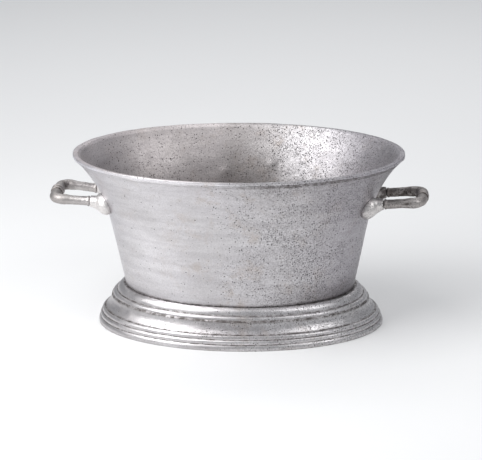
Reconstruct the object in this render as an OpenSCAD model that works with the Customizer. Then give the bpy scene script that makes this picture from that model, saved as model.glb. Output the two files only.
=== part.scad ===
// Oval champagne bucket in cast metal with an aged silver finish: a flared bowl stands on a
// stepped, hollow foot, and a looped handle is held by two cast lugs at each end.
// Origin: centre of the base on the table. +X: along the oval to the right-hand handle. +Z: up.

/* [Bowl] */
// Length over the rim, along X
rim_length = 400; // [380:5:420]
// Depth over the rim, along Y
rim_depth = 280; // [266:2:300]
// Height of the rim above the table
height = 211; // [205:1:220]
// Length of the bowl's bottom, where it stands on the foot
waist_length = 278; // [270:1:282]
// Lean of the lower wall from upright, in degrees
wall_lean = 11.8; // [10:0.1:13]
// Lean of the flared wall just below the rim, in degrees
rim_lean = 45.5; // [42:0.5:50]
// Thickness of the cast wall at the two ends; it is thinner along the sides, by the oval's ratio
wall = 6; // [5:0.5:6.5]
// Thickness of the bowl's floor
floor_thick = 8; // [8:0.5:10]
// Radius inside, between the wall and the floor
floor_corner = 14; // [8:1:20]
// Height of the thickened lip at the rim
lip_height = 3.5; // [3:0.5:5]

/* [Foot] */
// Height of the foot, up to the bowl's bottom
foot_height = 47; // [45:0.5:49]
// Length over the foot's lowest band, along X
foot_length = 348; // [342:1:352]
// Thickness of the foot's wall at the two ends
foot_wall = 6; // [5:0.5:7]
// Thickness of the flange under the bowl
flange_thick = 5; // [4:0.5:6]
// Half-length of the opening inside the flange
flange_bore = 100; // [80:1:104]

/* [Handles] */
// Length of the whole bucket over the rings on its handles
handles_length = 457; // [450:1:462]
// Distance between the two arms of a handle, centre to centre
arm_spacing = 58; // [54:1:66]
// Diameter of the arms' bar
bar_d = 11; // [9:0.2:12]
// Diameter of the grip and its two corners
grip_d = 12.6; // [12:0.2:13.4]
// Length over which each arm thins from its corner
taper_length = 12; // [8:1:16]
// Height of the grip's centre line above the table
grip_height = 158.5; // [156:0.5:161]
// Rise of the arms towards the grip, in degrees
handle_rise = 3.5; // [0:0.5:5]
// Bend radius at the handle's corners, on the centre line
bend_radius = 11.5; // [10:0.5:14]
// Length of an arm, from the grip's centre line to its lug
arm_length = 44.5; // [42.5:0.5:47]
// Diameter of the rings around the middle of the grip
ring_d = 15.8; // [14:0.2:17]

/* [Lugs] */
// Height of a lug's centre on the wall
lug_height = 150.5; // [149:0.5:152]
// Length of a lug, along the slope of the wall
lug_length = 28; // [27:1:31]
// Width of a lug, around the wall
lug_width = 26; // [24:0.5:26]
// How far a lug's keel stands out from the wall
lug_depth = 13.5; // [12:0.5:15]
// Diameter of the boss that takes the arm
boss_d = 15; // [14:0.5:16]
// Diameter of the spigot at the end of an arm
spigot_d = 7; // [6:0.5:8]
// Length of that spigot
spigot_length = 8; // [6:0.5:9]

/* [Fasteners] */
// Thread diameter of every screw
screw_d = 5; // [4:0.5:5]
// Head diameter
head_d = 9.6; // [8:0.2:10]
// Head height
head_h = 2.8; // [2.4:0.1:3.4]
// Washer diameter
washer_d = 12; // [11:0.5:12.5]
// Washer thickness
washer_h = 1; // [0.8:0.1:1.5]
// Width of the screwdriver slot
slot_w = 1.3; // [1:0.1:1.6]
// Depth of that slot
slot_depth = 1.2; // [1:0.1:1.4]
// How far a handle screw goes into its lug
lug_thread = 8; // [6:0.5:9]
// How far a foot screw goes into the bowl's floor
floor_thread = 5.5; // [4:0.5:6]
// Half-length of the oval on which the foot screws lie
foot_screw_r = 118; // [114:1:122]
// Direction of each foot screw from the oval's long axis, in degrees
foot_screw_angle = 42; // [35:1:55]

/* [Hidden] */
$fn = 96;

silver = "#c3c1be";
pewter = "#aaa59c";
steel = "#8e8c88";
seal = "#4d4a46";

// The oval: every section is turned about Z and drawn in along Y by its ratio.
rim_r = rim_length / 2;
waist_r = waist_length / 2;
foot_r = foot_length / 2;
oval = rim_depth / rim_length;

// Bowl section: a straight wall that bends outwards along one arc up to the lip.
lip_overhang = 1.2;
flare_end_r = rim_r - lip_overhang;
flare_end_z = height - lip_height;
flare_radius = (flare_end_r - waist_r - (flare_end_z - foot_height) * tan(wall_lean))
    / (cos(wall_lean) - cos(rim_lean) - (sin(rim_lean) - sin(wall_lean)) * tan(wall_lean));
flare_z = flare_end_z - flare_radius * (sin(rim_lean) - sin(wall_lean));
flare_r = waist_r + (flare_z - foot_height) * tan(wall_lean);
flare_centre = [flare_r + flare_radius * cos(wall_lean), flare_z - flare_radius * sin(wall_lean)];
flare_steps = 12;
lip_edge = 1.4;
edge_steps = 4;
floor_z = foot_height + floor_thick;
corner_steps = 6;
beyond = 5;

// Foot section: its grooves from the top down, as half-length and height.
ledge = 2.5;
foot_top = [waist_r + ledge, foot_height];
grooves = [[foot_r - 24.5, 38], [foot_r - 19, 33.5], [foot_r - 9, 18],
           [foot_r - 5.8, 12.5], [foot_r - 3.6, 7]];
cove_top = grooves[1] + [1.2, -0.6];
shoulder_bulge = 1.8;
bead_bulge = 1.8;
cove_bulge = -1.8;
band_bulge = 1.2;
base_land = 7;
curve_steps = 6;
flange_z = foot_height - flange_thick;

// Handles and lugs
grip_x = handles_length / 2 - ring_d / 2;
grip_half = arm_spacing / 2 - bend_radius;
collar_d = bar_d + 2.6;
collar_length = 3;
ring_length = 4.2;
groove_length = 1.4;
groove_d = grip_d - 1.4;
clearance = 0.4;
boss_root = 24;
lug_dome = 20;
wall_at_screw = wall - 0.9;

// Points on an arc about a centre, from one angle to another, in steps.
function arc(centre, r, from, to, steps) =
    [for (i = [0:steps]) let (a = from + (to - from) * i / steps) centre + r * [cos(a), sin(a)]];

// A line through points, whose stretches stand out to the left by the given heights.
function bulging_line(points, heights) =
    [for (i = [0:len(heights) - 1])
        let (p = points[i], q = points[i + 1], side = [p[1] - q[1], q[0] - p[0]] / norm(q - p),
             steps = heights[i] == 0 ? 1 : curve_steps)
        for (k = [0:steps - 1])
            let (u = k / steps)
            p + (q - p) * u + side * heights[i] * 4 * u * (1 - u),
     points[len(points) - 1]];

// Half-length of the bowl's outside at height z, within its flare.
function outside_r(z) =
    flare_centre[0] - flare_radius * cos(asin((z - flare_centre[1]) / flare_radius));

// Lean of the wall at height z, within the flare.
function lean(z) = asin((z - flare_centre[1]) / flare_radius);

// Where a lug is centred on the wall, and which way the wall faces there.
lug_y = -arm_spacing / 2;
lug_wall_r = outside_r(lug_height);
lug_x = sqrt(pow(lug_wall_r, 2) - pow(lug_y / oval, 2));
lug_turn = atan2(lug_y / pow(oval, 2), lug_x);
lug_tilt = atan(lug_wall_r * tan(lean(lug_height)) / norm([lug_x, lug_y / pow(oval, 2)]));

// ---- places ----

// A section turned about Z and drawn in along Y, in four quarters.
module turned_oval() {
    for (left = [0, 1], back = [0, 1]) mirror([left, 0, 0]) mirror([0, back, 0])
        scale([1, oval, 1]) rotate_extrude(angle = 90, $fn = 240) children();
}

// The four places that mirror the front right-hand one, or one of them.
module at_lug(left, back) {
    mirror([left ? 1 : 0, 0, 0]) mirror([0, back ? 1 : 0, 0]) children();
}

module at_every_lug() {
    for (left = [false, true], back = [false, true]) at_lug(left, back) children();
}

// The line square to the wall at the front right-hand lug: +Z outwards from the wall's face.
module screw_axis() {
    translate([lug_x, lug_y, lug_height]) rotate([0, 90 + lug_tilt, lug_turn]) children();
}

// The foot's four screws, upwards from the bowl's bottom.
module at_foot_screws() {
    for (turn = [foot_screw_angle, 180 - foot_screw_angle,
                 180 + foot_screw_angle, 360 - foot_screw_angle])
        translate([foot_screw_r * cos(turn), oval * foot_screw_r * sin(turn), foot_height])
            children();
}

// The right-hand handle's own frame: the grip's centre line is Y, and the arms run to -X.
module handle_frame() {
    translate([grip_x, 0, grip_height]) rotate([0, -handle_rise, 0]) children();
}

// ---- bowl ----

// The bowl's outer outline, from the middle of its bottom up to the top of its lip.
function bowl_outline() = concat(
    [[0, foot_height], [waist_r, foot_height]],
    arc(flare_centre, flare_radius, 180 - wall_lean, 180 - rim_lean, flare_steps),
    arc([rim_r - lip_edge, flare_end_z + lip_edge], lip_edge, -90, 0, edge_steps),
    arc([rim_r - lip_edge, height - lip_edge], lip_edge, 0, 90, edge_steps));

// Its inner outline, from the lip down to the middle of its floor.
function bowl_lining() =
    let (inner_radius = flare_radius + wall,
         lip_turn = asin((height - flare_centre[1]) / inner_radius),
         corner_z = floor_z + floor_corner,
         corner_r = waist_r + (corner_z - foot_height) * tan(wall_lean)
             - (wall + floor_corner) / cos(wall_lean))
    concat(arc(flare_centre, inner_radius, 180 - lip_turn, 180 - wall_lean, flare_steps),
           arc([corner_r, corner_z], floor_corner, -wall_lean, -90, corner_steps),
           [[0, floor_z]]);

// The whole space inside the bowl's outer face, which trims the lugs to the wall.
module bowl_outside() {
    scale([1, oval, 1]) rotate_extrude($fn = 240) polygon(concat(bowl_outline(), [[0, height]]));
}

module bowl() {
    color(silver) difference() {
        turned_oval() polygon(concat(bowl_outline(), bowl_lining()));
        at_every_lug() screw_axis() {
            translate([0, 0, -wall]) cylinder(d = screw_d + clearance, h = wall + beyond);
            translate([0, 0, -wall_at_screw - beyond]) cylinder(d = washer_d + clearance, h = beyond);
        }
        at_foot_screws() cylinder(d = screw_d, h = floor_thread);
    }
}

// ---- foot ----

// The foot's section: its mouldings from the bowl down, then its hollow underside.
function foot_section() = concat(
    bulging_line([foot_top, grooves[0], grooves[1], cove_top, grooves[2], grooves[3],
                  grooves[4], [foot_r - band_bulge, 0]],
                 [shoulder_bulge, bead_bulge, 0, cove_bulge, bead_bulge, bead_bulge, band_bulge]),
    [[foot_r - base_land, 0],
     grooves[3] - [foot_wall + 2, 0],
     grooves[2] - [foot_wall + 2, 0],
     grooves[1] - [foot_wall + 4, 0],
     [foot_top[0] - 1, flange_z],
     [flange_bore, flange_z],
     [flange_bore, foot_height]]);

module foot() {
    color(silver) difference() {
        turned_oval() polygon(foot_section());
        at_foot_screws() translate([0, 0, -flange_thick - beyond])
            cylinder(d = screw_d + clearance, h = flange_thick + 2 * beyond);
    }
}

// ---- handles ----

// Half of the grip's outline, from its middle to the corner: a groove, a ring, a groove, the rest.
function grip_outline() =
    let (groove = groove_length, ring = groove + ring_length)
    concat([[0, 0]],
        bulging_line([[0, groove_d / 2], [groove / 2, groove_d / 2], [groove / 2, grip_d / 2],
                      [ring - groove / 2, grip_d / 2], [ring - groove / 2, groove_d / 2]],
                     [0, 0, (ring_d - grip_d) / 2, 0]),
        [[ring + groove / 2, groove_d / 2], [ring + groove / 2, grip_d / 2],
         [grip_half, grip_d / 2], [grip_half, 0]]);

module handle() {
    handle_frame() {
        for (side = [0, 1]) mirror([0, side, 0]) {
            rotate([-90, 0, 0]) rotate_extrude()
                polygon([for (p = grip_outline()) [p[1], p[0]]]);
            translate([-bend_radius, grip_half, 0]) rotate_extrude(angle = 90)
                translate([bend_radius, 0]) circle(d = grip_d);
            translate([-bend_radius, arm_spacing / 2, 0]) rotate([0, -90, 0]) {
                straight = arm_length - bend_radius;
                cylinder(d1 = grip_d, d2 = bar_d, h = taper_length);
                translate([0, 0, taper_length]) cylinder(d = bar_d, h = straight - taper_length);
                translate([0, 0, straight - collar_length]) cylinder(d = collar_d, h = collar_length);
                translate([0, 0, straight]) cylinder(d = spigot_d, h = spigot_length);
            }
        }
    }
}

module handle_right() {
    color(pewter) handle();
}

module handle_left() {
    color(pewter) mirror([1, 0, 0]) handle();
}

// ---- lugs ----

// A leaf outline, broad and round at the top (-X) and narrow and round at the bottom (+X).
function lug_outline() =
    let (broad = lug_width / 2, narrow = broad / 2, reach = lug_length - broad - narrow,
         top = [broad - lug_length / 2, 0], taper = 90 - asin((broad - narrow) / reach))
    concat(arc(top, broad, taper, 360 - taper, 2 * curve_steps),
           arc(top + [reach, 0], narrow, -taper, taper, curve_steps));

// The front right-hand lug: a domed leaf hugs the wall, and a boss takes the arm's spigot.
module lug() {
    color(pewter) difference() {
        union() {
            screw_axis() intersection() {
                translate([0, 0, -beyond]) linear_extrude(lug_depth + 2 * beyond) polygon(lug_outline());
                translate([0, 0, lug_depth - lug_dome]) sphere(r = lug_dome);
            }
            arm_end() rotate([0, -90, 0]) cylinder(d = boss_d, h = boss_root);
        }
        bowl_outside();
        arm_end() rotate([0, -90, 0]) cylinder(d = spigot_d, h = spigot_length);
        screw_axis() translate([0, 0, -wall]) cylinder(d = screw_d, h = wall + lug_thread);
    }
}

// The end of the right-hand handle's front arm, where its collar meets the lug.
module arm_end() {
    handle_frame() translate([-arm_length, -arm_spacing / 2, 0]) children();
}

module lug_right_front() {
    at_lug(false, false) lug();
}

module lug_right_back() {
    at_lug(false, true) lug();
}

module lug_left_front() {
    at_lug(true, false) lug();
}

module lug_left_back() {
    at_lug(true, true) lug();
}

// ---- fasteners ----

// A screw with a domed, slotted head. Its seat is at z = 0 and its thread points to +Z.
module screw(length) {
    dome_r = (pow(head_d / 2, 2) + pow(head_h, 2)) / (2 * head_h);
    color(steel) difference() {
        union() {
            cylinder(d = screw_d, h = length);
            intersection() {
                translate([0, 0, dome_r - head_h]) sphere(r = dome_r);
                translate([0, 0, -head_h]) cylinder(d = head_d, h = head_h);
            }
        }
        translate([-head_d, -slot_w / 2, -head_h - 1]) cube([2 * head_d, slot_w, slot_depth + 1]);
    }
}

module washer() {
    color(seal) difference() {
        cylinder(d = washer_d, h = washer_h);
        translate([0, 0, -1]) cylinder(d = screw_d, h = washer_h + 2);
    }
}

module handle_screws() {
    at_every_lug() screw_axis() translate([0, 0, -wall_at_screw - washer_h])
        screw(washer_h + wall_at_screw + lug_thread);
}

module handle_screw_washers() {
    at_every_lug() screw_axis() translate([0, 0, -wall_at_screw - washer_h]) washer();
}

module foot_screws() {
    at_foot_screws() translate([0, 0, -flange_thick - washer_h])
        screw(washer_h + flange_thick + floor_thread);
}

module foot_screw_washers() {
    at_foot_screws() translate([0, 0, -flange_thick - washer_h]) washer();
}

bowl();
foot();
handle_right();
handle_left();
lug_right_front();
lug_right_back();
lug_left_front();
lug_left_back();
handle_screws();
handle_screw_washers();
foot_screws();
foot_screw_washers();
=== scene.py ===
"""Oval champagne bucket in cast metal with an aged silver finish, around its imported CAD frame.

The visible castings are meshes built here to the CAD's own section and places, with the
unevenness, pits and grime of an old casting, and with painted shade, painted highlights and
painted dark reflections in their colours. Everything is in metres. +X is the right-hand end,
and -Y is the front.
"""
import math

import bmesh
import bpy
from mathutils import Euler, Matrix, Vector, noise


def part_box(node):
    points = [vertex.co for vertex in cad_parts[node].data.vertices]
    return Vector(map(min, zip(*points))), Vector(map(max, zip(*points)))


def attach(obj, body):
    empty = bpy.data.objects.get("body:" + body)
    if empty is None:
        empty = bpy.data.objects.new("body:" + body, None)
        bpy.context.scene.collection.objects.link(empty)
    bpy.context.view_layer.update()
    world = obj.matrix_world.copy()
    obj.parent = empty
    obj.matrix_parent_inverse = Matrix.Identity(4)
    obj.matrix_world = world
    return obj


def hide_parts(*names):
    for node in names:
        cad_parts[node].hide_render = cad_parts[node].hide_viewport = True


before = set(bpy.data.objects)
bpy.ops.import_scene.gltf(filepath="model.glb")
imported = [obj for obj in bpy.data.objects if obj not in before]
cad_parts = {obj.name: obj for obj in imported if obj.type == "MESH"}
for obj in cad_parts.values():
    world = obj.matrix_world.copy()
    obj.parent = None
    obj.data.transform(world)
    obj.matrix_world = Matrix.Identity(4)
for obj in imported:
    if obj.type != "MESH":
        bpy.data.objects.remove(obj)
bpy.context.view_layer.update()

MM = 0.001

# ---- sizes that the frame gives ----

BOWL_LOW, BOWL_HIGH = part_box("bowl")
FOOT_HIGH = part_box("foot")[1]
HANDLE_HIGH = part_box("handle_right")[1]
RIM_R = BOWL_HIGH.x
OVAL = BOWL_HIGH.y / BOWL_HIGH.x
HEIGHT = BOWL_HIGH.z
SEAT = BOWL_LOW.z
FOOT_R = FOOT_HIGH.x

# ---- the bowl's section; every R is half a length, along X ----

WAIST_R = 139 * MM
WALL_LEAN = math.radians(11.8)
RIM_LEAN = math.radians(45.5)
WALL = 6 * MM
FLOOR_THICK = 8 * MM
FLOOR_CORNER = 14 * MM
SEAM_CORNER = 1.2 * MM
LIP_HEIGHT = 3.5 * MM
LIP_OVERHANG = 1.2 * MM
LIP_CORNER = 1.4 * MM

FLARE_END_R = RIM_R - LIP_OVERHANG
FLARE_END_Z = HEIGHT - LIP_HEIGHT
FLARE_RADIUS = (FLARE_END_R - WAIST_R - (FLARE_END_Z - SEAT) * math.tan(WALL_LEAN)) / (
    math.cos(WALL_LEAN) - math.cos(RIM_LEAN)
    - (math.sin(RIM_LEAN) - math.sin(WALL_LEAN)) * math.tan(WALL_LEAN))
FLARE_Z = FLARE_END_Z - FLARE_RADIUS * (math.sin(RIM_LEAN) - math.sin(WALL_LEAN))
FLARE_R = WAIST_R + (FLARE_Z - SEAT) * math.tan(WALL_LEAN)
FLARE_CENTRE = (FLARE_R + FLARE_RADIUS * math.cos(WALL_LEAN),
                FLARE_Z - FLARE_RADIUS * math.sin(WALL_LEAN))
FLOOR_Z = SEAT + FLOOR_THICK

# Lumps left by the casting, inside the back wall, as place, width and height.
LUMPS = [((-28 * MM, 157 * MM), 6 * MM, 1.1 * MM), ((29 * MM, 166 * MM), 4.5 * MM, 0.8 * MM),
         ((61 * MM, 152 * MM), 3.5 * MM, 0.5 * MM), ((-70 * MM, 176 * MM), 6 * MM, 0.5 * MM)]

# ---- the foot's section ----

FOOT_WALL = 6 * MM
FLANGE_THICK = 5 * MM
FLANGE_BORE = 100 * MM
BASE_LAND = 7 * MM

# Grooves between the mouldings from the top down, as half-length and height.
GROOVES = [(FOOT_R - 23.5 * MM, 38 * MM), (FOOT_R - 18 * MM, 33.5 * MM),
           (FOOT_R - 8 * MM, 18 * MM), (FOOT_R - 4.8 * MM, 12.5 * MM),
           (FOOT_R - 2.6 * MM, 7 * MM)]

# The foot was joined a little askew: the seam dips towards the right-hand end, fully from
# SKEW_FULL up, and less and less over SKEW_FADE below SKEW_END.
SKEW = 0.01
SKEW_FULL = 33 * MM
SKEW_FADE = 60 * MM
SKEW_END = 115 * MM

# ---- the handles and lugs ----

ARM_SPACING = 58 * MM
ARM_LENGTH = 44.5 * MM
ARM_R = 5.5 * MM
TAPER = 12 * MM
BEND_RADIUS = 11.5 * MM
GRIP_R = 6.3 * MM
RING_R = 7.9 * MM
RING_PLACE = 3.5 * MM
RING_HALF = 2.8 * MM
RINGED = 7.4 * MM
GROOVE_R = GRIP_R - 0.9 * MM
COLLAR_R = 6.1 * MM
COLLAR_LENGTH = 3 * MM
SPIGOT_R = 3.4 * MM
SPIGOT_LENGTH = 6 * MM
GRIP_X = HANDLE_HIGH.x - RING_R
GRIP_HEIGHT = HANDLE_HIGH.z - RING_R
HANDLE_RISE = math.radians(3.5)
HANDLE_FRAME = (Matrix.Translation((GRIP_X, 0, GRIP_HEIGHT))
                @ Euler((0, -HANDLE_RISE, 0)).to_matrix().to_4x4())

# How far each end of a handle is bent down or up.
BENT = 1.1 * MM
BENT_BACK = 2 * MM

# An old dent on the outside of the right-hand handle's front arm, in the handle's own frame.
SCAR = Vector((-17 * MM, -ARM_SPACING / 2 - ARM_R, 1 * MM))
SCAR_LENGTH = 6.5 * MM
SCAR_WIDTH = 1.5 * MM
SCAR_DEPTH = 0.8 * MM

LUG_HEIGHT = 150.5 * MM
LOBE_TURN = math.radians(44)
LOBE_SIZE = (14.4 * MM, 11.6 * MM, 10.5 * MM)
BOSS_R = 7.5 * MM
BOSS_LENGTH = 20 * MM
KEEL_FOOT_R = 4.5 * MM
LUG_VOXEL = 0.6 * MM
LUG_ROOT = 3 * MM

# The front lugs take their arms a thousandth of the way in from the arms' full reach.
FRONT_ARM_SHARE = 0.999

# Points round each oval ring, and round the handles' bar.
ROUND = 384
BAR_ROUND = 44

END_NAMES = {1: "right", -1: "left"}
FACE_NAMES = {1: "back", -1: "front"}


# ---- outlines ----

def arc(centre, radius, start, end, steps):
    """Points (r, z) along an arc, both ends included; angles in radians."""
    angles = [start + (end - start) * i / steps for i in range(steps + 1)]
    return [(centre[0] + radius * math.cos(a), centre[1] + radius * math.sin(a)) for a in angles]


def line(start, end, steps):
    """Points (r, z) along a line, without its end."""
    return [(start[0] + (end[0] - start[0]) * i / steps, start[1] + (end[1] - start[1]) * i / steps)
            for i in range(steps)]


def bulge(start, end, height, steps):
    """Points (r, z) along a line that stands out to the left by height, without its end."""
    dr, dz = end[0] - start[0], end[1] - start[1]
    length = math.hypot(dr, dz)
    points = []
    for i in range(steps):
        u = i / steps
        out = height * 4 * u * (1 - u) / length
        points.append((start[0] + dr * u - dz * out, start[1] + dz * u + dr * out))
    return points


def clamp(value):
    return max(0, min(value, 1))


def smooth_step(u):
    """Runs from 0 to 1 as u does, with a level start and end."""
    u = clamp(u)
    return u * u * (3 - 2 * u)


# ---- meshes ----

def make_object(name, bm, replaced):
    """Turns a bmesh into a smooth piece that rides on the root body and stands for a CAD node."""
    bmesh.ops.recalc_face_normals(bm, faces=bm.faces)
    mesh = bpy.data.meshes.new(name)
    bm.to_mesh(mesh)
    bm.free()
    mesh.shade_smooth()
    piece = bpy.data.objects.new(name, mesh)
    bpy.context.scene.collection.objects.link(piece)
    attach(piece, "root")
    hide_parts(replaced)
    return piece


def ripple(point, scale, seed):
    """Smooth noise from about -1 to 1, with bumps about scale across."""
    return noise.noise(Vector(point) / scale + Vector((seed * 7.3, seed * 3.1, seed * 5.7)))


def waves(point, *layers):
    """Layers of ripples added up, each with its height, the width of its bumps and its seed."""
    return sum(height * ripple(point, scale, seed) for height, scale, seed in layers)


def settled(p):
    """A point of a casting kept inside the design's outline, and dipped with the foot's skew."""
    reach = math.hypot(p.x, p.y / OVAL)
    if reach > RIM_R:
        p = Vector((p.x * RIM_R / reach, p.y * RIM_R / reach, p.z))
    share = clamp(p.z / SKEW_FULL) * clamp((SKEW_END - p.z) / SKEW_FADE)
    return Vector((p.x, p.y, p.z - SKEW * p.x * share))


def turned_oval(section, unevenness, darkening):
    """A closed section turned round the oval. unevenness(point, index) gives how far a point is
    pushed out along its section normal, and darkening(point, index) how much grime and painted
    shade it has, from 0 to 1."""
    bm = bmesh.new()
    grime_and_shade = bm.verts.layers.float.new("grime_and_shade")
    count = len(section)
    rings = []
    for i, (r, z) in enumerate(section):
        before, after = section[i - 1], section[(i + 1) % count]
        run, rise = after[0] - before[0], after[1] - before[1]
        size = math.hypot(run, rise) or 1
        normal = (rise / size, -run / size)
        ring = []
        steps = ROUND if r > 0 else 1
        for k in range(steps):
            turn = 2 * math.pi * k / ROUND
            flat = Vector((r * math.cos(turn), OVAL * r * math.sin(turn), z))
            push = unevenness(flat, i)
            out = Vector((normal[0] * math.cos(turn), normal[0] * math.sin(turn), normal[1]))
            vert = bm.verts.new(settled(flat + out * push))
            vert[grime_and_shade] = darkening(flat, i)
            ring.append(vert)
        rings.append(ring)
    for a, b in zip(rings, rings[1:] + rings[:1]):
        if len(a) == 1 and len(b) == 1:
            continue
        for k in range(ROUND):
            n = (k + 1) % ROUND
            if len(a) == 1:
                bm.faces.new((a[0], b[n], b[k]))
            elif len(b) == 1:
                bm.faces.new((a[k], a[n], b[0]))
            else:
                bm.faces.new((a[k], a[n], b[n], b[k]))
    return bm


# ---- bowl ----

def wall_radius(z):
    """Half-length of the bowl's outside at height z."""
    if z < FLARE_Z:
        return WAIST_R + (z - SEAT) * math.tan(WALL_LEAN)
    rise = min((z - FLARE_CENTRE[1]) / FLARE_RADIUS, 0.95)
    return FLARE_CENTRE[0] - FLARE_RADIUS * math.sqrt(1 - rise * rise)


def wall_normal(x, y, z):
    """The direction in which the bowl's outside faces at a point on it."""
    step = 0.1 * MM
    slope = (wall_radius(z + step) - wall_radius(z - step)) / (2 * step)
    return Vector((x, y / OVAL ** 2, -wall_radius(z) * slope)).normalized()


def depth_in_wall(p):
    """How far inside the bowl's outer face a point is, roughly along X (negative outside)."""
    return wall_radius(p.z) - math.hypot(p.x, p.y / OVAL)


def bowl_section():
    """The bowl's closed section from the middle of its bottom, outwards and over the lip to the
    middle of its floor, with the index at which its lip starts and ends."""
    points = line((0, SEAT), (WAIST_R - 1.5 * MM, SEAT), 12)
    points += arc((WAIST_R - SEAM_CORNER, SEAT + SEAM_CORNER), SEAM_CORNER,
                  -math.pi / 2, -WALL_LEAN, 4)
    points += line(points[-1], (FLARE_R, FLARE_Z), 30)[1:]
    points += arc(FLARE_CENTRE, FLARE_RADIUS, math.pi - WALL_LEAN, math.pi - RIM_LEAN, 34)
    lip_start = len(points)
    corner_r = RIM_R - LIP_CORNER
    low_z, high_z = FLARE_END_Z + LIP_CORNER, HEIGHT - LIP_CORNER
    points += arc((corner_r, low_z), LIP_CORNER, -math.pi / 2, 0, 5)
    points += line((RIM_R, low_z), (RIM_R, high_z), 3)[1:]
    points += arc((corner_r, high_z), LIP_CORNER, 0, math.pi / 2, 5)
    inner_radius = FLARE_RADIUS + WALL
    lip_turn = math.asin((HEIGHT - 0.9 * MM - FLARE_CENTRE[1]) / inner_radius)
    lining = arc(FLARE_CENTRE, inner_radius, math.pi - lip_turn, math.pi - WALL_LEAN, 34)
    inner_edge = (lining[0][0] + 1.1 * MM, HEIGHT)
    points += line((corner_r, HEIGHT), inner_edge, 6)[1:]
    points += [inner_edge, (lining[0][0] + 0.35 * MM, HEIGHT - 0.25 * MM)]
    lip_end = len(points)
    floor_corner_z = FLOOR_Z + FLOOR_CORNER
    floor_corner_r = (WAIST_R + (floor_corner_z - SEAT) * math.tan(WALL_LEAN)
                      - (WALL + FLOOR_CORNER) / math.cos(WALL_LEAN))
    floor_corner = arc((floor_corner_r, floor_corner_z), FLOOR_CORNER, -WALL_LEAN, -math.pi / 2, 10)
    points += lining
    points += line(lining[-1], floor_corner[0], 30)[1:]
    points += floor_corner
    points += line(floor_corner[-1], (0, FLOOR_Z), 24)[1:]
    points.append((0, FLOOR_Z))
    return points, lip_start, lip_end


def lump_height(p):
    """How far the casting lumps stand out at a point of the bowl's inside."""
    if p.y < 0:
        return 0
    total = 0
    for (x, z), width, height in LUMPS:
        distance = math.hypot(p.x - x, p.z - z)
        total += height * math.exp(-(distance / width) ** 2)
    return total


def lip_waver(p, under):
    """How far a point of the lip is pushed out: the lip's underside wavers the most."""
    along = Vector((p.x, p.y, 0))
    swell = ripple(along, 38 * MM, 3) + 0.5 * ripple(along, 13 * MM, 4)
    if under:
        return 0.3 * MM + 1.1 * MM * swell
    if p.z < HEIGHT - 0.5 * MM:
        return -0.5 * MM + 0.5 * MM * min(swell, 0.9)
    return -0.25 * MM + 0.3 * MM * min(swell, 0.8)


def build_bowl():
    section, lip_start, lip_end = bowl_section()

    def unevenness(p, i):
        if p.z < SEAT + 0.1 * MM:
            return 0
        if lip_start - 2 <= i < lip_end:
            return lip_waver(p, i < lip_start + 3)
        push = waves(p, (0.45 * MM, 60 * MM, 1), (0.16 * MM, 17 * MM, 2), (0.05 * MM, 5 * MM, 8))
        return push + lump_height(p) if i >= lip_end else push

    def darkening(p, i):
        if i < lip_start - 3:
            # dirt in the seam
            return 0.8 * max(0, 1 - (p.z - SEAT) / (1.6 * MM)) ** 1.5
        if i < lip_start + 1:
            # painted shade: a thin dark line under the lip's overhang, mostly right of the middle of the
            # front
            return 0.08 + 0.55 * clamp((p.x + 10 * MM) / (60 * MM)) * (p.y < 0)
        if i >= lip_end:
            # dirt around the floor
            return 0.5 * max(0, 1 - (p.z - FLOOR_Z) / (16 * MM))
        return 0

    bm = turned_oval(section, unevenness, darkening)
    inside = bm.verts.layers.float.new("inside")
    for vert in bm.verts:
        vert[inside] = clamp((depth_in_wall(vert.co) - 0.35 * WALL) / (0.4 * WALL))
    return make_object("bowl_casting", bm, "bowl")


# ---- foot ----

def foot_section():
    """The foot's closed section, from the seam outwards, down its mouldings and back inside, with
    the index at which each moulding starts."""
    seam_start = (WAIST_R - 1 * MM, SEAT)
    ledge = (WAIST_R + 2.5 * MM, SEAT)
    cove_top = (GROOVES[1][0] + 1.2 * MM, GROOVES[1][1] - 0.6 * MM)
    base = (FOOT_R - 0.2 * MM, 0)
    points = line((FLANGE_BORE, SEAT), seam_start, 8)
    points += line(seam_start, ledge, 5)
    outer = [(ledge, GROOVES[0], 1.8), (GROOVES[0], GROOVES[1], 1.8), (GROOVES[1], cove_top, 0),
             (cove_top, GROOVES[2], -1.8), (GROOVES[2], GROOVES[3], 1.6),
             (GROOVES[3], GROOVES[4], 1.6), (GROOVES[4], base, 1.2)]
    starts = [len(points)]
    for start, end, height in outer:
        points += bulge(start, end, height * MM, 12 if height else 2)
        starts.append(len(points))
    inner = [base, (FOOT_R - BASE_LAND, 0),
             (GROOVES[3][0] - FOOT_WALL - 2 * MM, GROOVES[3][1]),
             (GROOVES[2][0] - FOOT_WALL - 2 * MM, GROOVES[2][1]),
             (GROOVES[1][0] - FOOT_WALL - 4 * MM, GROOVES[1][1]),
             (ledge[0] - 1 * MM, SEAT - FLANGE_THICK), (FLANGE_BORE, SEAT - FLANGE_THICK),
             (FLANGE_BORE, SEAT)]
    for start, end in zip(inner, inner[1:]):
        points += line(start, end, 6)
    return points, starts


def build_foot():
    section, starts = foot_section()
    seam, base = starts[0], starts[-1]
    seat_end = 8

    def unevenness(p, i):
        if p.z < 0.2 * MM or i < seat_end:
            return 0
        push = waves(p, (0.3 * MM, 45 * MM, 5), (0.14 * MM, 11 * MM, 6))
        if i < seam + 4:
            # rough solder along the seam
            solder = ripple(p, 4 * MM, 9) + 0.7 * ripple(p, 1.8 * MM, 10)
            return push + 0.35 * MM * solder
        return min(push, 0.25 * MM) - 0.1 * MM

    def darkening(p, i):
        if i < seam + 1:
            return 0.8
        if i >= base:
            return 0.5
        nearest = min(abs(i - start) for start in starts[1:-1])
        return 1.1 * max(0, 1 - nearest / 1.8) + 0.25 * max(0, 1 - p.z / (2 * MM))

    bm = turned_oval(section, unevenness, darkening)
    return make_object("foot_casting", bm, "foot")


# ---- handles ----

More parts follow.
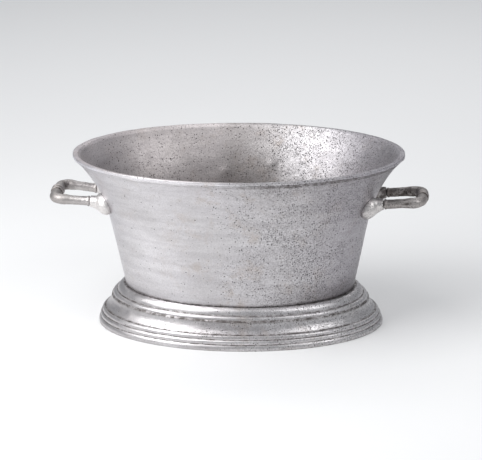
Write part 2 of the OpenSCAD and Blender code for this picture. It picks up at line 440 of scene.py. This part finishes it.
def handle_route():
    """The bar's centre line in the handle's own frame, from the front arm's root round the grip
    to the back arm's root."""
    half = ARM_SPACING / 2
    straight = ARM_LENGTH - BEND_RADIUS
    arm_steps, bend_steps, grip_steps = 40, 20, 45
    points = []
    for i in range(arm_steps):
        x = -ARM_LENGTH - SPIGOT_LENGTH + (straight + SPIGOT_LENGTH) * i / arm_steps
        points.append(Vector((x, -half, 0)))
    for i in range(bend_steps + 1):
        a = -math.pi / 2 + math.pi / 2 * i / bend_steps
        points.append(Vector((-BEND_RADIUS + BEND_RADIUS * math.cos(a),
                              -half + BEND_RADIUS + BEND_RADIUS * math.sin(a), 0)))
    for i in range(1, grip_steps):
        points.append(Vector((0, -(half - BEND_RADIUS) * (1 - i / grip_steps), 0)))
    mirrored = [Vector((p.x, -p.y, 0)) for p in reversed(points)]
    return points + [Vector((0, 0, 0))] + mirrored


def bar_radius(p):
    """The bar's radius at a point of the route: rings at the middle of a thick grip, arms that
    thin from the corners, and a collar and a spigot at each arm's end."""
    if p.x < -ARM_LENGTH:
        return SPIGOT_R
    if p.x < -ARM_LENGTH + COLLAR_LENGTH:
        return COLLAR_R
    if p.x < -BEND_RADIUS:
        thinned = smooth_step((-BEND_RADIUS - p.x) / TAPER)
        return GRIP_R + (ARM_R - GRIP_R) * thinned
    y = abs(p.y)
    if abs(p.x) < 0.01 * MM and y < RINGED:
        u = (y - RING_PLACE) / RING_HALF
        if abs(u) < 1:
            return GROOVE_R + (RING_R - GROOVE_R) * math.sqrt(1 - u * u)
        return GROOVE_R
    return GRIP_R


def bent(p, side):
    """A point of a handle moved as the handmade casting is bent: p is in the handle's own frame."""
    along = smooth_step(1 + p.x / ARM_LENGTH)
    far = smooth_step(0.5 + p.y / ARM_SPACING)
    if side > 0:
        drop = BENT - BENT_BACK * far
    else:
        drop = -BENT + BENT_BACK * far * along
    return Vector((p.x, p.y, p.z + drop))


def scar_share(local, out):
    """How much of the dent a point of the right-hand handle's skin takes."""
    if out.y >= -0.3:
        return 0
    near = local - SCAR
    return math.exp(-(near.x / SCAR_LENGTH) ** 4 - (near.z / SCAR_WIDTH) ** 2)


def handle_dirt_and_shade(p, local, out, radius, side):
    """Grime and painted shade on a handle: grime in the grooves and at the joints, painted shade inside
    the corners and on the right-hand handle's back arm.
    """
    dirt_and_shade = 0
    if radius < GRIP_R + 0.5 * MM and p.x > -1 * MM and abs(p.y) < RINGED:
        dirt_and_shade = 0.95
    joint = p.x + ARM_LENGTH
    if joint < 0.5 * MM or COLLAR_LENGTH <= joint < COLLAR_LENGTH + 1 * MM:
        dirt_and_shade = 0.25 if side > 0 else 0.1
    # painted shade: the right-hand handle's back arm made nearly black, less so on its top
    if side > 0 and p.y > 0 and p.x < -BEND_RADIUS * 0.3:
        dirt_and_shade = max(dirt_and_shade, 0.95 - 0.5 * max(0, out.z))
    # painted shade in the inside corners between the grip and the arms, wider at the back
    inner_corner = Vector((-GRIP_R, math.copysign(ARM_SPACING / 2 - ARM_R, p.y), 0))
    reach = 9 * MM if p.y > 0 else 5 * MM
    return max(dirt_and_shade, 0.75 * math.exp(-((local - inner_corner).length / reach) ** 2))


def build_handle(side):
    """A handle's casting: side is 1 for the right-hand one and -1 for the left-hand one."""
    seed = 11 if side > 0 else 17
    route = handle_route()
    bm = bmesh.new()
    grime_and_shade = bm.verts.layers.float.new("grime_and_shade")
    rings = []
    for i, p in enumerate(route):
        ahead = route[min(i + 1, len(route) - 1)] - route[max(i - 1, 0)]
        across = Vector((ahead.y, -ahead.x, 0)).normalized()
        radius = bar_radius(p)
        ring = []
        for k in range(BAR_ROUND):
            a = 2 * math.pi * k / BAR_ROUND
            out = across * math.cos(a) + Vector((0, 0, 1)) * math.sin(a)
            local = p + out * radius
            skin = waves(local, (0.45 * MM, 13 * MM, seed), (0.16 * MM, 3 * MM, seed + 1))
            skin = min(skin, 0.45 * MM)
            if out.x > 0.5 and local.x > GRIP_R - 1 * MM:
                skin = min(skin, 0.3 * MM)
            dirt_and_shade = handle_dirt_and_shade(p, local, out, radius, side)
            if side > 0:
                scar = scar_share(local, out)
                skin -= SCAR_DEPTH * scar
                dirt_and_shade = max(dirt_and_shade, scar)
            place = HANDLE_FRAME @ bent(p + out * (radius + skin), side)
            vert = bm.verts.new((min(place.x, HANDLE_HIGH.x) * side, place.y, place.z))
            vert[grime_and_shade] = dirt_and_shade
            ring.append(vert)
        rings.append(ring)
    for a, b in zip(rings, rings[1:]):
        for k in range(BAR_ROUND):
            n = (k + 1) % BAR_ROUND
            bm.faces.new((a[k], a[n], b[n], b[k]))
    bm.faces.new(rings[0])
    bm.faces.new(rings[-1])
    name = END_NAMES[side]
    return make_object(f"handle_{name}_casting", bm, f"handle_{name}")


# ---- lugs, all shaped as the front right-hand one and then mirrored ----

LUG_Y = ARM_SPACING / 2
LUG_LEAN = math.asin((LUG_HEIGHT - FLARE_CENTRE[1]) / FLARE_RADIUS)
LUG_WALL_R = FLARE_CENTRE[0] - FLARE_RADIUS * math.cos(LUG_LEAN)
LUG_X = math.sqrt(LUG_WALL_R ** 2 - (LUG_Y / OVAL) ** 2)
LUG_CENTRE = Vector((LUG_X, -LUG_Y, LUG_HEIGHT))

# Directions at the lug: away from the wall, down along it, and along it towards the front.
LUG_OUT = wall_normal(*LUG_CENTRE)
LUG_DOWN = (Vector((0, 0, -1)) - LUG_OUT * -LUG_OUT.z).normalized()
LUG_ACROSS = LUG_DOWN.cross(LUG_OUT)

LOBE = LUG_CENTRE + LUG_OUT * 1.8 * MM - LUG_DOWN * 2.8 * MM + LUG_ACROSS * 1.6 * MM
KEEL_FOOT = LOBE + LUG_DOWN * 9 * MM + LUG_OUT * 2.2 * MM
CASTING_HOLE = LOBE + LUG_DOWN * 11.5 * MM + LUG_ACROSS * 5 * MM
CASTING_HOLE_R = 1.6 * MM

# The arm's direction from the handle into the lug, and two more across it.
ARM_ALONG = (HANDLE_FRAME.to_3x3() @ Vector((-1, 0, 0))).normalized()
ARM_UP = Vector((0, 1, 0)).cross(ARM_ALONG).normalized()
ARM_SIDE = ARM_ALONG.cross(ARM_UP)


def cast_together(bm, voxel, rounds):
    """Closed shells that overlap, joined into one skin and smoothed like a casting."""
    mesh = bpy.data.meshes.new("shells")
    bm.to_mesh(mesh)
    bm.free()
    shells = bpy.data.objects.new("shells", mesh)
    bpy.context.scene.collection.objects.link(shells)
    remesh = shells.modifiers.new("remesh", "REMESH")
    remesh.mode = "VOXEL"
    remesh.voxel_size = voxel
    smooth = shells.modifiers.new("smooth", "SMOOTH")
    smooth.factor = 0.5
    smooth.iterations = rounds
    graph = bpy.context.evaluated_depsgraph_get()
    skin = bpy.data.meshes.new_from_object(shells.evaluated_get(graph))
    joined = bmesh.new()
    joined.from_mesh(skin)
    bpy.data.objects.remove(shells)
    bpy.data.meshes.remove(mesh)
    bpy.data.meshes.remove(skin)
    return joined


def add_blob(bm, centre, axes, half_widths):
    """An ellipsoid with its three directions and its half-width along each."""
    turn = Matrix(axes).transposed().to_4x4()
    size = Matrix.Diagonal((*half_widths, 1))
    bmesh.ops.create_icosphere(bm, subdivisions=4, radius=1,
                               matrix=Matrix.Translation(centre) @ turn @ size)


def add_hull(bm, points):
    """The closed convex hull of some points."""
    hull = bmesh.new()
    for p in points:
        hull.verts.new(p)
    result = bmesh.ops.convex_hull(hull, input=hull.verts)
    loose = [e for e in result["geom_interior"] if isinstance(e, bmesh.types.BMVert)]
    bmesh.ops.delete(hull, geom=loose, context="VERTS")
    mesh = bpy.data.meshes.new("hull")
    hull.to_mesh(mesh)
    hull.free()
    bm.from_mesh(mesh)
    bpy.data.meshes.remove(mesh)


def circle(centre, first, second, radius, steps=24):
    """Points on a circle that two directions span."""
    return [centre + first * radius * math.cos(2 * math.pi * i / steps)
            + second * radius * math.sin(2 * math.pi * i / steps) for i in range(steps)]


def arm_end(side, front):
    """Where a bent handle's arm meets its lug, mirrored to the front right-hand place."""
    end = Vector((-ARM_LENGTH, front * ARM_SPACING / 2, 0))
    if front < 0:
        end *= FRONT_ARM_SHARE
    arm = HANDLE_FRAME @ bent(end, side)
    return Vector((arm.x, -abs(arm.y), arm.z))


def lug_skin(arm):
    """A lobe that hugs the wall, a boss that takes the arm, and a keel from the boss to the wall."""
    bm = bmesh.new()
    long_way = LUG_DOWN * math.cos(LOBE_TURN) + LUG_ACROSS * math.sin(LOBE_TURN)
    short_way = LUG_ACROSS * math.cos(LOBE_TURN) - LUG_DOWN * math.sin(LOBE_TURN)
    add_blob(bm, LOBE, (long_way, short_way, long_way.cross(short_way)), LOBE_SIZE)
    root = arm + ARM_ALONG * BOSS_LENGTH
    add_hull(bm, circle(arm + ARM_ALONG * 0.3 * MM, ARM_UP, ARM_SIDE, BOSS_R - 0.5 * MM)
             + circle(root, ARM_UP, ARM_SIDE, BOSS_R + 0.5 * MM))
    add_hull(bm, circle(arm + ARM_ALONG * 1.5 * MM, ARM_UP, ARM_SIDE, BOSS_R - 1 * MM)
             + circle(root, ARM_UP, ARM_SIDE, BOSS_R)
             + circle(KEEL_FOOT, LUG_ACROSS, LUG_OUT, KEEL_FOOT_R))
    return cast_together(bm, LUG_VOXEL, 5)


def lug_dirt_and_shade(p, gap, from_arm, side, front):
    """Grime and painted shade on a lug: grime along the wall and at the joint with the arm, painted
    shade over the whole back right one, and a dark spot of painted shade for a casting hole on the
    front left one."""
    dirt_and_shade = 0.8 * max(0, 1 - gap / (0.9 * MM)) if gap > -1 * MM else 0.5
    if from_arm < 1.2 * MM:
        dirt_and_shade = max(dirt_and_shade, 0.2 - 0.15 * max(from_arm, 0) / (1.2 * MM))
    # painted shade: the back right lug, beside the darkened arm, made dark all over
    if side > 0 and front > 0:
        dirt_and_shade = max(dirt_and_shade, 0.85)
    # painted shade: a dark spot for a casting hole, with no hole in the mesh
    if side < 0 and front < 0:
        dirt_and_shade = max(dirt_and_shade, math.exp(-((p - CASTING_HOLE).length / CASTING_HOLE_R) ** 2))
    return min(1, dirt_and_shade)


def build_lug(side, front):
    """A lug: side is 1 at the right-hand end, and front is -1 on the front and 1 on the back."""
    seed = 23 + side + 2 * front
    arm = arm_end(side, front)
    lug = lug_skin(arm)
    grime_and_shade = lug.verts.layers.float.new("grime_and_shade")
    for vert in lug.verts:
        p = vert.co.copy()
        p += vert.normal * waves(p, (0.3 * MM, 8 * MM, seed), (0.1 * MM, 2.5 * MM, seed))
        gap = -depth_in_wall(p)
        vert[grime_and_shade] = lug_dirt_and_shade(p, gap, (p - arm).dot(ARM_ALONG), side, front)
        if gap < -LUG_ROOT:
            # nothing reaches through the wall to the bowl's inside
            p += LUG_OUT * (-LUG_ROOT - gap)
        vert.co = Vector((p.x * side, p.y * -front, p.z))
    name = f"{END_NAMES[side]}_{FACE_NAMES[front]}"
    return make_object(f"lug_{name}_casting", lug, f"lug_{name}")


# ---- materials ----

class Nodes:
    """Short calls for building one material's node tree."""

    def __init__(self, name):
        self.material = bpy.data.materials.new(name)
        self.material.use_nodes = True
        self.tree = self.material.node_tree
        self.shader = self.tree.nodes["Principled BSDF"]
        self.place = self.tree.nodes.new("ShaderNodeTexCoord").outputs["Object"]

    def link(self, source, target):
        self.tree.links.new(source, target)

    def scaled(self, x, y, z):
        """The place with each axis scaled, for noise that is drawn out along some of them."""
        node = self.tree.nodes.new("ShaderNodeMapping")
        node.inputs["Scale"].default_value = (x, y, z)
        self.link(self.place, node.inputs["Vector"])
        return node.outputs[0]

    def noise(self, scale, detail=4, rough=0.55, place=None):
        node = self.tree.nodes.new("ShaderNodeTexNoise")
        node.inputs["Scale"].default_value = scale
        node.inputs["Detail"].default_value = detail
        node.inputs["Roughness"].default_value = rough
        self.link(place or self.place, node.inputs["Vector"])
        return node.outputs["Fac"]

    def dots(self, scale, density, near, far):
        """Round dots, one in each of the cells that a density from 0 to 1 picks, which fade out
        between two distances from the cell's middle."""
        cells = self.tree.nodes.new("ShaderNodeTexVoronoi")
        cells.inputs["Scale"].default_value = scale
        self.link(self.place, cells.inputs["Vector"])
        split = self.tree.nodes.new("ShaderNodeSeparateColor")
        self.link(cells.outputs["Color"], split.inputs[0])
        picked = self.maths("LESS_THAN", split.outputs[0], density)
        return self.both(self.span(cells.outputs["Distance"], near, far, 1, 0), picked)

    def span(self, value, low, high, to_low=0, to_high=1):
        """A value taken smoothly from one range to another."""
        node = self.tree.nodes.new("ShaderNodeMapRange")
        node.interpolation_type = "SMOOTHSTEP"
        self.link(value, node.inputs["Value"])
        node.inputs["From Min"].default_value = low
        node.inputs["From Max"].default_value = high
        node.inputs["To Min"].default_value = to_low
        node.inputs["To Max"].default_value = to_high
        return node.outputs["Result"]

    def maths(self, operation, a, b=None):
        node = self.tree.nodes.new("ShaderNodeMath")
        node.operation = operation
        for value, socket in ((a, node.inputs[0]), (b, node.inputs[1])):
            if value is None:
                continue
            if isinstance(value, (int, float)):
                socket.default_value = value
            else:
                self.link(value, socket)
        return node.outputs[0]

    def both(self, a, b):
        """Two values multiplied."""
        return self.maths("MULTIPLY", a, b)

    def axis(self, which):
        node = self.tree.nodes.new("ShaderNodeSeparateXYZ")
        self.link(self.place, node.inputs[0])
        return node.outputs[which]

    def band(self, which, middle, near, far, at_middle=1, beyond=0):
        """One value close to a place on an axis and another beyond it."""
        distance = self.maths("ABSOLUTE", self.maths("ADD", self.axis(which), -middle))
        return self.span(distance, near, far, at_middle, beyond)

    def attribute(self, name):
        node = self.tree.nodes.new("ShaderNodeAttribute")
        node.attribute_name = name
        return node.outputs["Fac"]

    def mix(self, factor, a, b):
        node = self.tree.nodes.new("ShaderNodeMix")
        node.data_type = "RGBA"
        self.link(factor, node.inputs["Factor"])
        for value, socket in ((a, node.inputs[6]), (b, node.inputs[7])):
            if isinstance(value, tuple):
                socket.default_value = (*value, 1)
            else:
                self.link(value, socket)
        return node.outputs[2]

    def multiply(self, a, b):
        """Two colours multiplied."""
        node = self.tree.nodes.new("ShaderNodeMix")
        node.data_type = "RGBA"
        node.blend_type = "MULTIPLY"
        node.inputs["Factor"].default_value = 1
        self.link(a, node.inputs[6])
        self.link(b, node.inputs[7])
        return node.outputs[2]

    def tint(self, tone, where, colour):
        """A tone multiplied by a colour, as far as a value from 0 to 1 says."""
        return self.multiply(tone, self.mix(where, (1, 1, 1), colour))

    def bump(self, height, distance, strength=1, under=None):
        node = self.tree.nodes.new("ShaderNodeBump")
        node.inputs["Strength"].default_value = strength
        node.inputs["Distance"].default_value = distance
        self.link(height, node.inputs["Height"])
        if under is not None:
            self.link(under, node.inputs["Normal"])
        return node.outputs["Normal"]


def wall_light_and_tone(n, tone):
    """The bowl's broad tones: painted shade at its darker, bluer ends, a painted highlight on the
    left, and darker low towards the right.
    """
    # painted shade: the ends darker and bluer, the right-hand one most
    tone = n.tint(tone, n.span(n.axis("X"), 60 * MM, 150 * MM), (0.77, 0.76, 0.79))
    tone = n.tint(tone, n.span(n.axis("X"), -175 * MM, -120 * MM, 1, 0), (0.9, 0.9, 0.925))
    # painted highlight: a soft bright patch on the left of the bowl
    painted_highlight = n.both(n.band("X", -88 * MM, 15 * MM, 55 * MM), n.band("Z", 105 * MM, 20 * MM, 50 * MM))
    uneven = n.span(n.noise(38, 4, 0.6, n.scaled(0.4, 0.4, 2.5)), 0.35, 0.6, 0.3, 1)
    tone = n.tint(tone, n.both(painted_highlight, uneven), (1.13, 1.13, 1.13))
    # darker low towards the right-hand end
    low = n.span(n.axis("Z"), 49 * MM, 85 * MM, 1, 0)
    darker_low_right = n.both(low, n.span(n.axis("X"), 20 * MM, 110 * MM))
    return n.tint(tone, darker_low_right, (0.55, 0.54, 0.54))


def lining_wear_and_light(n, tone, density, inside):
    """The bowl's inside: more pitted, with a painted dark reflection low in the middle, painted shade
    that darkens and warms it towards the left, and a painted highlight along the top of the lip.
    """
    bottom = n.span(n.axis("Z"), 150 * MM, 185 * MM, 1, 0.6)
    middle = n.band("X", 4 * MM, 20 * MM, 50 * MM, 1, 0.1)
    density = n.maths("MAXIMUM", density, n.both(n.both(bottom, inside), 0.42))
    # painted dark reflection: low in the middle of the inside, darkened towards near black
    painted_dark_reflection = n.both(n.both(bottom, middle), inside)
    tone = n.mix(n.both(painted_dark_reflection, 0.62), tone, (0.24, 0.225, 0.22))
    # painted shade: the inside a little darker than the outside, darker and warmer towards the left
    lining = n.mix(n.span(n.axis("X"), -60 * MM, 70 * MM), (0.91, 0.87, 0.845), (0.94, 0.94, 0.935))
    tone = n.tint(tone, inside, lining)
    # painted highlight: a bright line along the top of the lip, strongest on the left
    left = n.span(n.axis("X"), -30 * MM, 30 * MM, 1, 0.35)
    painted_lip_highlight = n.both(n.span(n.axis("Z"), 206.5 * MM, 208.5 * MM), left)
    return n.tint(tone, painted_lip_highlight, (1.3, 1.3, 1.3)), density


def cove_wear_and_reflection(n, tone, density):
    """The foot's speckles along the middle of its cove, and a painted dark reflection on the same band.
    """
    # painted dark reflection: the middle of the cove darkened; the same band is also more pitted
    speckles_and_reflection = n.both(n.band("X", 0, 20 * MM, 55 * MM), n.band("Z", 24 * MM, 6 * MM, 12 * MM, 0.5))
    tone = n.tint(tone, speckles_and_reflection, (0.84, 0.83, 0.84))
    return tone, n.maths("MAXIMUM", density, speckles_and_reflection)


def aged_metal(name, light, dark, stain, pitting, stained=0.5, rough=(0.32, 0.44), part=None):
    """Cast metal with a worn silver finish: tone that drifts, pits, fine brushing, and grime and
    painted shade from the meshes. The bowl and the foot add wear and painted light of their own,
    and the bowl is rougher inside."""
    n = Nodes(name)
    n.shader.inputs["Metallic"].default_value = 1
    tone = n.mix(n.span(n.noise(9, 4, 0.6), 0.36, 0.64), dark, light)
    if part == "bowl":
        tone = wall_light_and_tone(n, tone)
    strokes = n.span(n.noise(30, 4, 0.6, n.scaled(0.5, 0.5, 5)), 0.36, 0.64)
    tone = n.multiply(tone, n.mix(strokes, (0.93, 0.925, 0.93), (1.04, 1.04, 1.04)))
    # warm stains, mostly around the middle
    stains = n.span(n.noise(34, 7, 0.72), 0.5, 0.68)
    stains = n.both(stains, n.band("X", 10 * MM, 20 * MM, 120 * MM, 1, 0.3))
    tone = n.mix(n.both(stains, stained), tone, stain)
    # pits, denser towards the right-hand end
    right = n.span(n.axis("X"), -45 * MM, 90 * MM, 0.04, 0.95)
    patches = n.span(n.noise(19, 5, 0.7), 0.36, 0.62, 0.3, 1.15)
    density = n.both(n.both(right, patches), pitting)
    if part == "bowl":
        inside = n.attribute("inside")
        tone, density = lining_wear_and_light(n, tone, density, inside)
    if part == "foot":
        tone, density = cove_wear_and_reflection(n, tone, density)
    large = n.dots(430, n.both(density, 0.5), 0.2, 0.38)
    small = n.dots(620, density, 0.2, 0.4)
    pits = n.maths("MAXIMUM", large, n.both(small, 0.7))
    grain = n.both(n.span(n.noise(560, 3, 0.7), 0.34, 0.66), n.span(density, 0, 0.7, 0.4, 1))
    tone = n.tint(tone, grain, (0.66, 0.65, 0.65))
    tone = n.mix(n.both(pits, 0.85), tone, (0.07, 0.066, 0.066))
    # grime and painted shade: darkened as far as the meshes' grime_and_shade attribute says
    dirt_and_shade = n.both(n.attribute("grime_and_shade"), n.span(n.noise(130, 5, 0.7), 0.36, 0.6, 0.25, 1))
    tone = n.mix(dirt_and_shade, tone, (0.075, 0.062, 0.055))
    n.link(tone, n.shader.inputs["Base Color"])
    roughness = n.span(n.noise(70, 5, 0.65), 0.3, 0.7, rough[0], rough[1])
    roughness = n.maths("ADD", roughness, n.both(pits, 0.3))
    roughness = n.maths("ADD", roughness, n.both(dirt_and_shade, 0.3))
    if part == "bowl":
        roughness = n.maths("ADD", roughness, n.both(inside, 0.12))
    n.link(roughness, n.shader.inputs["Roughness"])
    normal = n.bump(n.noise(110, 3, 0.6, n.scaled(0.6, 0.6, 5)), 0.3 * MM, 0.35)
    normal = n.bump(n.noise(150, 6, 0.72), 0.4 * MM, 0.6, normal)
    normal = n.bump(n.noise(620, 3, 0.6), 0.12 * MM, 0.8, normal)
    normal = n.bump(n.both(pits, -1), 0.3 * MM, 0.8, normal)
    n.link(normal, n.shader.inputs["Normal"])
    return n.material


def dull_steel():
    """Plain steel for the screws, mottled and slightly rough."""
    n = Nodes("dull_steel")
    n.shader.inputs["Metallic"].default_value = 1
    n.link(n.mix(n.noise(300, 4), (0.3, 0.29, 0.28), (0.5, 0.49, 0.47)), n.shader.inputs["Base Color"])
    n.link(n.span(n.noise(500, 4), 0.3, 0.7, 0.3, 0.5), n.shader.inputs["Roughness"])
    n.link(n.bump(n.noise(900, 4), 0.1 * MM, 0.5), n.shader.inputs["Normal"])
    return n.material


def black_rubber():
    """Black rubber for the washers."""
    n = Nodes("black_rubber")
    n.link(n.mix(n.noise(400, 4), (0.02, 0.02, 0.02), (0.05, 0.048, 0.045)),
           n.shader.inputs["Base Color"])
    n.link(n.span(n.noise(700, 3), 0.3, 0.7, 0.6, 0.8), n.shader.inputs["Roughness"])
    n.link(n.bump(n.noise(1200, 3), 0.1 * MM, 0.4), n.shader.inputs["Normal"])
    return n.material


def floor_paint():
    """Pale matt paint."""
    n = Nodes("floor_paint")
    n.link(n.mix(n.noise(2, 3), (0.86, 0.86, 0.86), (0.88, 0.88, 0.88)), n.shader.inputs["Base Color"])
    n.shader.inputs["Roughness"].default_value = 0.9
    n.shader.inputs["Specular IOR Level"].default_value = 0.1
    return n.material


def dress(piece, material):
    """Gives a piece one material."""
    piece.data.materials.clear()
    piece.data.materials.append(material)


# ---- the studio ----

def build_floor():
    reach = 6
    corners = [(-reach, -reach, 0), (reach, -reach, 0), (reach, reach, 0), (-reach, reach, 0)]
    mesh = bpy.data.meshes.new("floor")
    mesh.from_pydata(corners, [], [(0, 1, 2, 3)])
    floor = bpy.data.objects.new("floor", mesh)
    bpy.context.scene.collection.objects.link(floor)
    dress(floor, floor_paint())


def direction(azimuth, elevation):
    """From the middle of the scene towards a viewer: azimuth 0 is the front and 90 the right."""
    a, e = math.radians(azimuth), math.radians(elevation)
    return Vector((math.sin(a) * math.cos(e), -math.cos(a) * math.cos(e), math.sin(e)))


def soft_light(name, azimuth, elevation, distance, width, height, power):
    """A rectangular soft light that looks at the bucket from a direction, in degrees."""
    data = bpy.data.lights.new(name, "AREA")
    data.shape = "RECTANGLE"
    data.size, data.size_y = width, height
    data.energy = power
    lamp = bpy.data.objects.new(name, data)
    away = direction(azimuth, elevation)
    lamp.location = Vector((0, 0, HEIGHT / 2)) + away * distance
    lamp.rotation_euler = (-away).to_track_quat("-Z", "Y").to_euler()
    bpy.context.scene.collection.objects.link(lamp)
    return lamp


def build_lights():
    world = bpy.data.worlds.new("studio")
    world.use_nodes = True
    background = world.node_tree.nodes["Background"]
    background.inputs["Color"].default_value = (0.92, 0.95, 1, 1)
    background.inputs["Strength"].default_value = 0.36
    bpy.context.scene.world = world
    soft_light("key_softbox", -54, 36, 1.25, 1, 0.9, 12)
    soft_light("right_softbox", 58, 40, 1.5, 0.7, 0.8, 5.2)
    soft_light("left_ceiling_softbox", -50, 68, 1.5, 1.1, 0.8, 4.6)
    # one more behind the bucket that points straight down and lights the floor there
    backdrop = soft_light("backdrop_softbox", 180, 50, 2, 2.4, 1.2, 14)
    backdrop.rotation_euler = (0, 0, 0)
    bpy.context.scene.view_settings.view_transform = "Standard"


def build_camera():
    """The product shot's view: a long lens, a little above and to the right, tilted a little."""
    data = bpy.data.cameras.new("camera")
    data.sensor_width = 36
    data.lens = 203.8
    camera = bpy.data.objects.new("camera", data)
    bpy.context.scene.collection.objects.link(camera)
    azimuth, elevation, roll, distance = 6.2, 16.74, math.radians(0.77), 3.295
    side = direction(azimuth + 90, 0)
    aim = Vector((0, 0, 113.1 * MM)) + side * 2.06 * MM
    away = direction(azimuth, elevation)
    camera.location = aim + away * distance
    turn = (-away).to_track_quat("-Z", "Y").to_matrix()
    camera.rotation_euler = (turn @ Matrix.Rotation(-roll, 3, "Z")).to_euler()
    bpy.context.scene.camera = camera


# ---- make it ----

bowl = build_bowl()
foot = build_foot()
handles = [build_handle(side) for side in (1, -1)]
lugs = [build_lug(side, front) for side in (1, -1) for front in (-1, 1)]

# Each metal's lighter and darker tone, its stains, and how pitted, stained and rough it is.
bowl_silver = aged_metal("bowl_silver", (0.67, 0.655, 0.672), (0.595, 0.58, 0.59), (0.5, 0.43, 0.38),
                         pitting=1, part="bowl")
foot_silver = aged_metal("foot_silver", (0.72, 0.705, 0.715), (0.6, 0.58, 0.585), (0.48, 0.42, 0.38),
                         pitting=0.8, part="foot")
handle_pewter = aged_metal("handle_pewter", (0.57, 0.547, 0.538), (0.43, 0.4, 0.385), (0.24, 0.2, 0.175),
                           pitting=0.6, stained=0.6, rough=(0.4, 0.54))
lug_pewter = aged_metal("lug_pewter", (0.86, 0.835, 0.82), (0.74, 0.715, 0.7), (0.42, 0.37, 0.33),
                        pitting=0.5, rough=(0.4, 0.52))
dress(bowl, bowl_silver)
dress(foot, foot_silver)
for handle in handles:
    dress(handle, handle_pewter)
for lug in lugs:
    dress(lug, lug_pewter)
for node in ("handle_screws", "foot_screws"):
    dress(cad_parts[node], dull_steel())
for node in ("handle_screw_washers", "foot_screw_washers"):
    dress(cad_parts[node], black_rubber())

build_floor()
build_lights()
build_camera()
